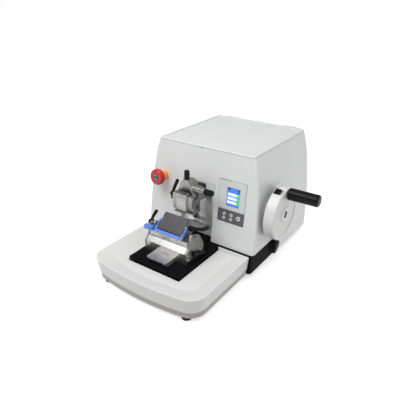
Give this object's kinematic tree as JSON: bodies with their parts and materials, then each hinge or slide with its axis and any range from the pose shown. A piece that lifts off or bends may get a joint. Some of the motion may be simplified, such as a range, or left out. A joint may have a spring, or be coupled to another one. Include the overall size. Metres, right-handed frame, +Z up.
{
  "type": "rotary microtome",
  "caption": "Bench-top rotary microtome with a side handwheel, vertical specimen head, knife holder on a rail, slide-off waste tray and a control panel on its sloping front.",
  "frame": {"origin": "on the bench under the middle of the machine's overall width and depth", "axes": "+X to the handwheel side, +Y to the back, +Z up"},
  "size_m": [0.4266, 0.5346, 0.29],
  "materials": {
    "housing_white": "satin",
    "tray_white": "satin",
    "pan_white": "satin",
    "black_casting": "satin",
    "black_plastic": "gloss",
    "black_matte": "matte",
    "rubber_black": "matte",
    "steel": "brushed",
    "chrome_steel": "polished",
    "nickel_warm": "satin",
    "pale_pad": "matte",
    "slate_metal": "satin",
    "guard_blue": "gloss",
    "stop_red": "gloss",
    "stop_yellow": "satin",
    "panel_grey": "satin",
    "keypad_grey": "satin",
    "key_white": "satin",
    "screen": "gloss",
    "frame_grey": "matte",
    "bearing_steel": "polished",
    "belt_black": "matte"
  },
  "bodies": {
    "base": {"base_pan": "pan_white", "base_casting": "black_casting", "rubber_feet": "rubber_black", "base_plate": "black_casting", "t_rail": "steel", "housing_shell": "housing_white", "rear_panel": "housing_white", "power_inlet": "black_matte", "slide_face_plate": "steel", "main_frame": "frame_grey", "guide_rods": "chrome_steel", "bearing_block": "frame_grey", "shaft_bearings": "bearing_steel", "drive_motor": "black_matte", "drive_belt": "belt_black", "display_bezel": "panel_grey", "display_screen": "screen", "keypad_plate": "keypad_grey", "stop_collar": "stop_yellow"},
    "lid": {"lid": "housing_white"},
    "tray": {"waste_tray": "tray_white"},
    "wheel": {"handwheel": "tray_white", "drive_shaft": "bearing_steel", "crank_disc": "frame_grey"},
    "grip": {"wheel_grip": "black_plastic"},
    "catch": {"wheel_catch": "black_plastic"},
    "motor_shaft": {"motor_pulley": "bearing_steel"},
    "base_lock": {"base_lock_lever": "black_matte"},
    "rocker": {"power_switch": "black_plastic"},
    "stop_plunger": {"stop_stem": "black_matte"},
    "stop_head": {"stop_button": "stop_red"},
    "carriage": {"carriage_block": "frame_grey", "dust_shutter": "steel", "feed_motor": "black_matte"},
    "screw": {"feed_screw": "bearing_steel"},
    "feed": {"feed_piston": "steel", "head_mount": "nickel_warm"},
    "swivel": {"swivel_ring": "nickel_warm"},
    "tilt": {"specimen_clamp": "nickel_warm", "clamp_face": "pale_pad"},
    "jaw": {"clamp_jaw": "nickel_warm"},
    "jaw_lever": {"clamp_lever": "black_plastic"},
    "knob_top": {"orient_knob_top": "black_plastic"},
    "knob_side": {"orient_knob_side": "black_plastic"},
    "holder": {"holder_base": "steel", "holder_cheeks": "steel"},
    "holder_lock": {"holder_lock_lever": "black_plastic"},
    "rocker_segment": {"segment": "steel"},
    "angle_clamp": {"angle_lever": "black_plastic"},
    "blade_slide": {"blade_carriage": "nickel_warm", "blade": "chrome_steel", "shift_grip": "guard_blue"},
    "press": {"pressure_plate": "slate_metal"},
    "blade_clamp": {"blade_lever": "black_plastic"},
    "guard": {"knife_guard": "guard_blue"},
    "key_menu": {"key_menu": "key_white"},
    "key_up": {"key_up": "key_white"},
    "key_back": {"key_back": "key_white"},
    "key_down": {"key_down": "key_white"},
    "key_run": {"key_run": "key_white"}
  },
  "joints": [
    {"name": "lid_hinge", "type": "hinge", "parent": "base", "child": "lid", "pos_m": [-0.0547, 0.25794, 0.2855], "axis": [-1, 0, 0], "range_deg": [0, 85]},
    {"name": "tray_pull", "type": "slide", "parent": "base", "child": "tray", "axis": [0, -1, 0], "range_m": [0, 0.16]},
    {"name": "handwheel_spin", "type": "hinge", "parent": "base", "child": "wheel", "pos_m": [0.1403, 0.0347, 0.1495], "axis": [1, 0, 0], "continuous": true},
    {"name": "grip_spin", "type": "hinge", "parent": "wheel", "child": "grip", "pos_m": [0.1403, 0.04176, 0.19971], "axis": [1, 0, 0], "continuous": true},
    {"name": "catch_slide", "type": "slide", "parent": "wheel", "child": "catch", "axis": [1, 0, 0], "range_m": [0, 0.006]},
    {"name": "motor_spin", "type": "hinge", "parent": "base", "child": "motor_shaft", "pos_m": [0.0493, 0.1667, 0.112], "axis": [1, 0, 0], "continuous": true},
    {"name": "base_lock_turn", "type": "hinge", "parent": "base", "child": "base_lock", "pos_m": [0.1013, 0.0637, 0.049], "axis": [-1, 0, 0], "range_deg": [0, 70]},
    {"name": "power_rocker", "type": "hinge", "parent": "base", "child": "rocker", "pos_m": [-0.0987, 0.25912, 0.11184], "axis": [1, 0, 0], "range_deg": [0, 16]},
    {"name": "stop_push", "type": "slide", "parent": "base", "child": "stop_plunger", "axis": [0, 0.9909, -0.1349], "range_m": [0, 0.004], "stiffness_N_per_m": 800},
    {"name": "stop_twist", "type": "hinge", "parent": "stop_plunger", "child": "stop_head", "pos_m": [-0.1667, -0.02601, 0.1966], "axis": [0, -0.9909, 0.1349], "range_deg": [-35, 0], "stiffness_Nm_per_rad": 0.05},
    {"name": "carriage_travel", "type": "slide", "parent": "base", "child": "carriage", "axis": [0, 0, 1], "range_m": [-0.055, 0]},
    {"name": "screw_spin", "type": "hinge", "parent": "carriage", "child": "screw", "pos_m": [-0.0607, 0.06871, 0.175], "axis": [0, 1, 0], "range_deg": [0, 5040]},
    {"name": "specimen_feed", "type": "slide", "parent": "carriage", "child": "feed", "axis": [0, -1, 0], "range_m": [0, 0.028]},
    {"name": "head_swivel", "type": "hinge", "parent": "feed", "child": "swivel", "pos_m": [-0.0607, -0.07129, 0.175], "axis": [0, 0, 1], "range_deg": [-8, 8]},
    {"name": "head_tilt", "type": "hinge", "parent": "swivel", "child": "tilt", "pos_m": [-0.0607, -0.07129, 0.175], "axis": [1, 0, 0], "range_deg": [-8, 8]},
    {"name": "clamp_lever_turn", "type": "hinge", "parent": "tilt", "child": "jaw_lever", "pos_m": [-0.0827, -0.08779, 0.189], "axis": [1, 0, 0], "range_deg": [0, 90]},
    {"name": "jaw_open", "type": "slide", "parent": "tilt", "child": "jaw", "axis": [0, 0, 1], "range_m": [0, 0.006]},
    {"name": "top_knob_turn", "type": "hinge", "parent": "feed", "child": "knob_top", "pos_m": [-0.0607, -0.07129, 0.224], "axis": [0, 0, 1], "range_deg": [-240, 240]},
    {"name": "side_knob_turn", "type": "hinge", "parent": "feed", "child": "knob_side", "pos_m": [-0.0122, -0.06929, 0.206], "axis": [1, 0, 0], "range_deg": [-240, 240]},
    {"name": "holder_travel", "type": "slide", "parent": "base", "child": "holder", "axis": [0, -1, 0], "range_m": [-0.002, 0.03]},
    {"name": "holder_lock_turn", "type": "hinge", "parent": "holder", "child": "holder_lock", "pos_m": [-0.0007, -0.13129, 0.079], "axis": [1, 0, 0], "range_deg": [0, 60]},
    {"name": "clearance_angle", "type": "hinge", "parent": "holder", "child": "rocker_segment", "pos_m": [-0.0607, -0.1103, 0.1502], "axis": [1, 0, 0], "range_deg": [-5, 5]},
    {"name": "angle_lever_turn", "type": "hinge", "parent": "rocker_segment", "child": "angle_clamp", "pos_m": [-0.1217, -0.12729, 0.12076], "axis": [1, 0, 0], "range_deg": [0, 40]},
    {"name": "blade_shift", "type": "slide", "parent": "rocker_segment", "child": "blade_slide", "axis": [1, 0, 0], "range_m": [-0.01, 0.01]},
    {"name": "pressure_plate_hinge", "type": "hinge", "parent": "blade_slide", "child": "press", "pos_m": [-0.0587, -0.14243, 0.12263], "axis": [1, 0, 0], "range_deg": [0, 25]},
    {"name": "blade_lever_turn", "type": "hinge", "parent": "blade_slide", "child": "blade_clamp", "pos_m": [-0.0227, -0.11829, 0.133], "axis": [1, 0, 0], "range_deg": [0, 60]},
    {"name": "guard_swing", "type": "hinge", "parent": "blade_slide", "child": "guard", "pos_m": [-0.0587, -0.12736, 0.13623], "axis": [-1, 0, 0], "range_deg": [0, 160]},
    {"name": "key_menu_press", "type": "slide", "parent": "base", "child": "key_menu", "axis": [0, 0.9909, -0.1349], "range_m": [0, 0.001], "stiffness_N_per_m": 150},
    {"name": "key_up_press", "type": "slide", "parent": "base", "child": "key_up", "axis": [0, 0.9909, -0.1349], "range_m": [0, 0.001], "stiffness_N_per_m": 150},
    {"name": "key_back_press", "type": "slide", "parent": "base", "child": "key_back", "axis": [0, 0.9909, -0.1349], "range_m": [0, 0.001], "stiffness_N_per_m": 150},
    {"name": "key_down_press", "type": "slide", "parent": "base", "child": "key_down", "axis": [0, 0.9909, -0.1349], "range_m": [0, 0.001], "stiffness_N_per_m": 150},
    {"name": "key_run_press", "type": "slide", "parent": "base", "child": "key_run", "axis": [0, 0.9909, -0.1349], "range_m": [0, 0.001], "stiffness_N_per_m": 150}
  ],
  "couplings": [
    {"joint": "motor_spin", "follows": "handwheel_spin", "ratio": 2.5},
    {"joint": "screw_spin", "follows": "specimen_feed", "rad_per_m": 3141.6},
    {"joint": "side_knob_turn", "follows": "head_swivel", "ratio": 30},
    {"joint": "top_knob_turn", "follows": "head_tilt", "ratio": 30},
    {"joint": "jaw_open", "follows": "clamp_lever_turn", "m_per_rad": 0.0038006}
  ]
}
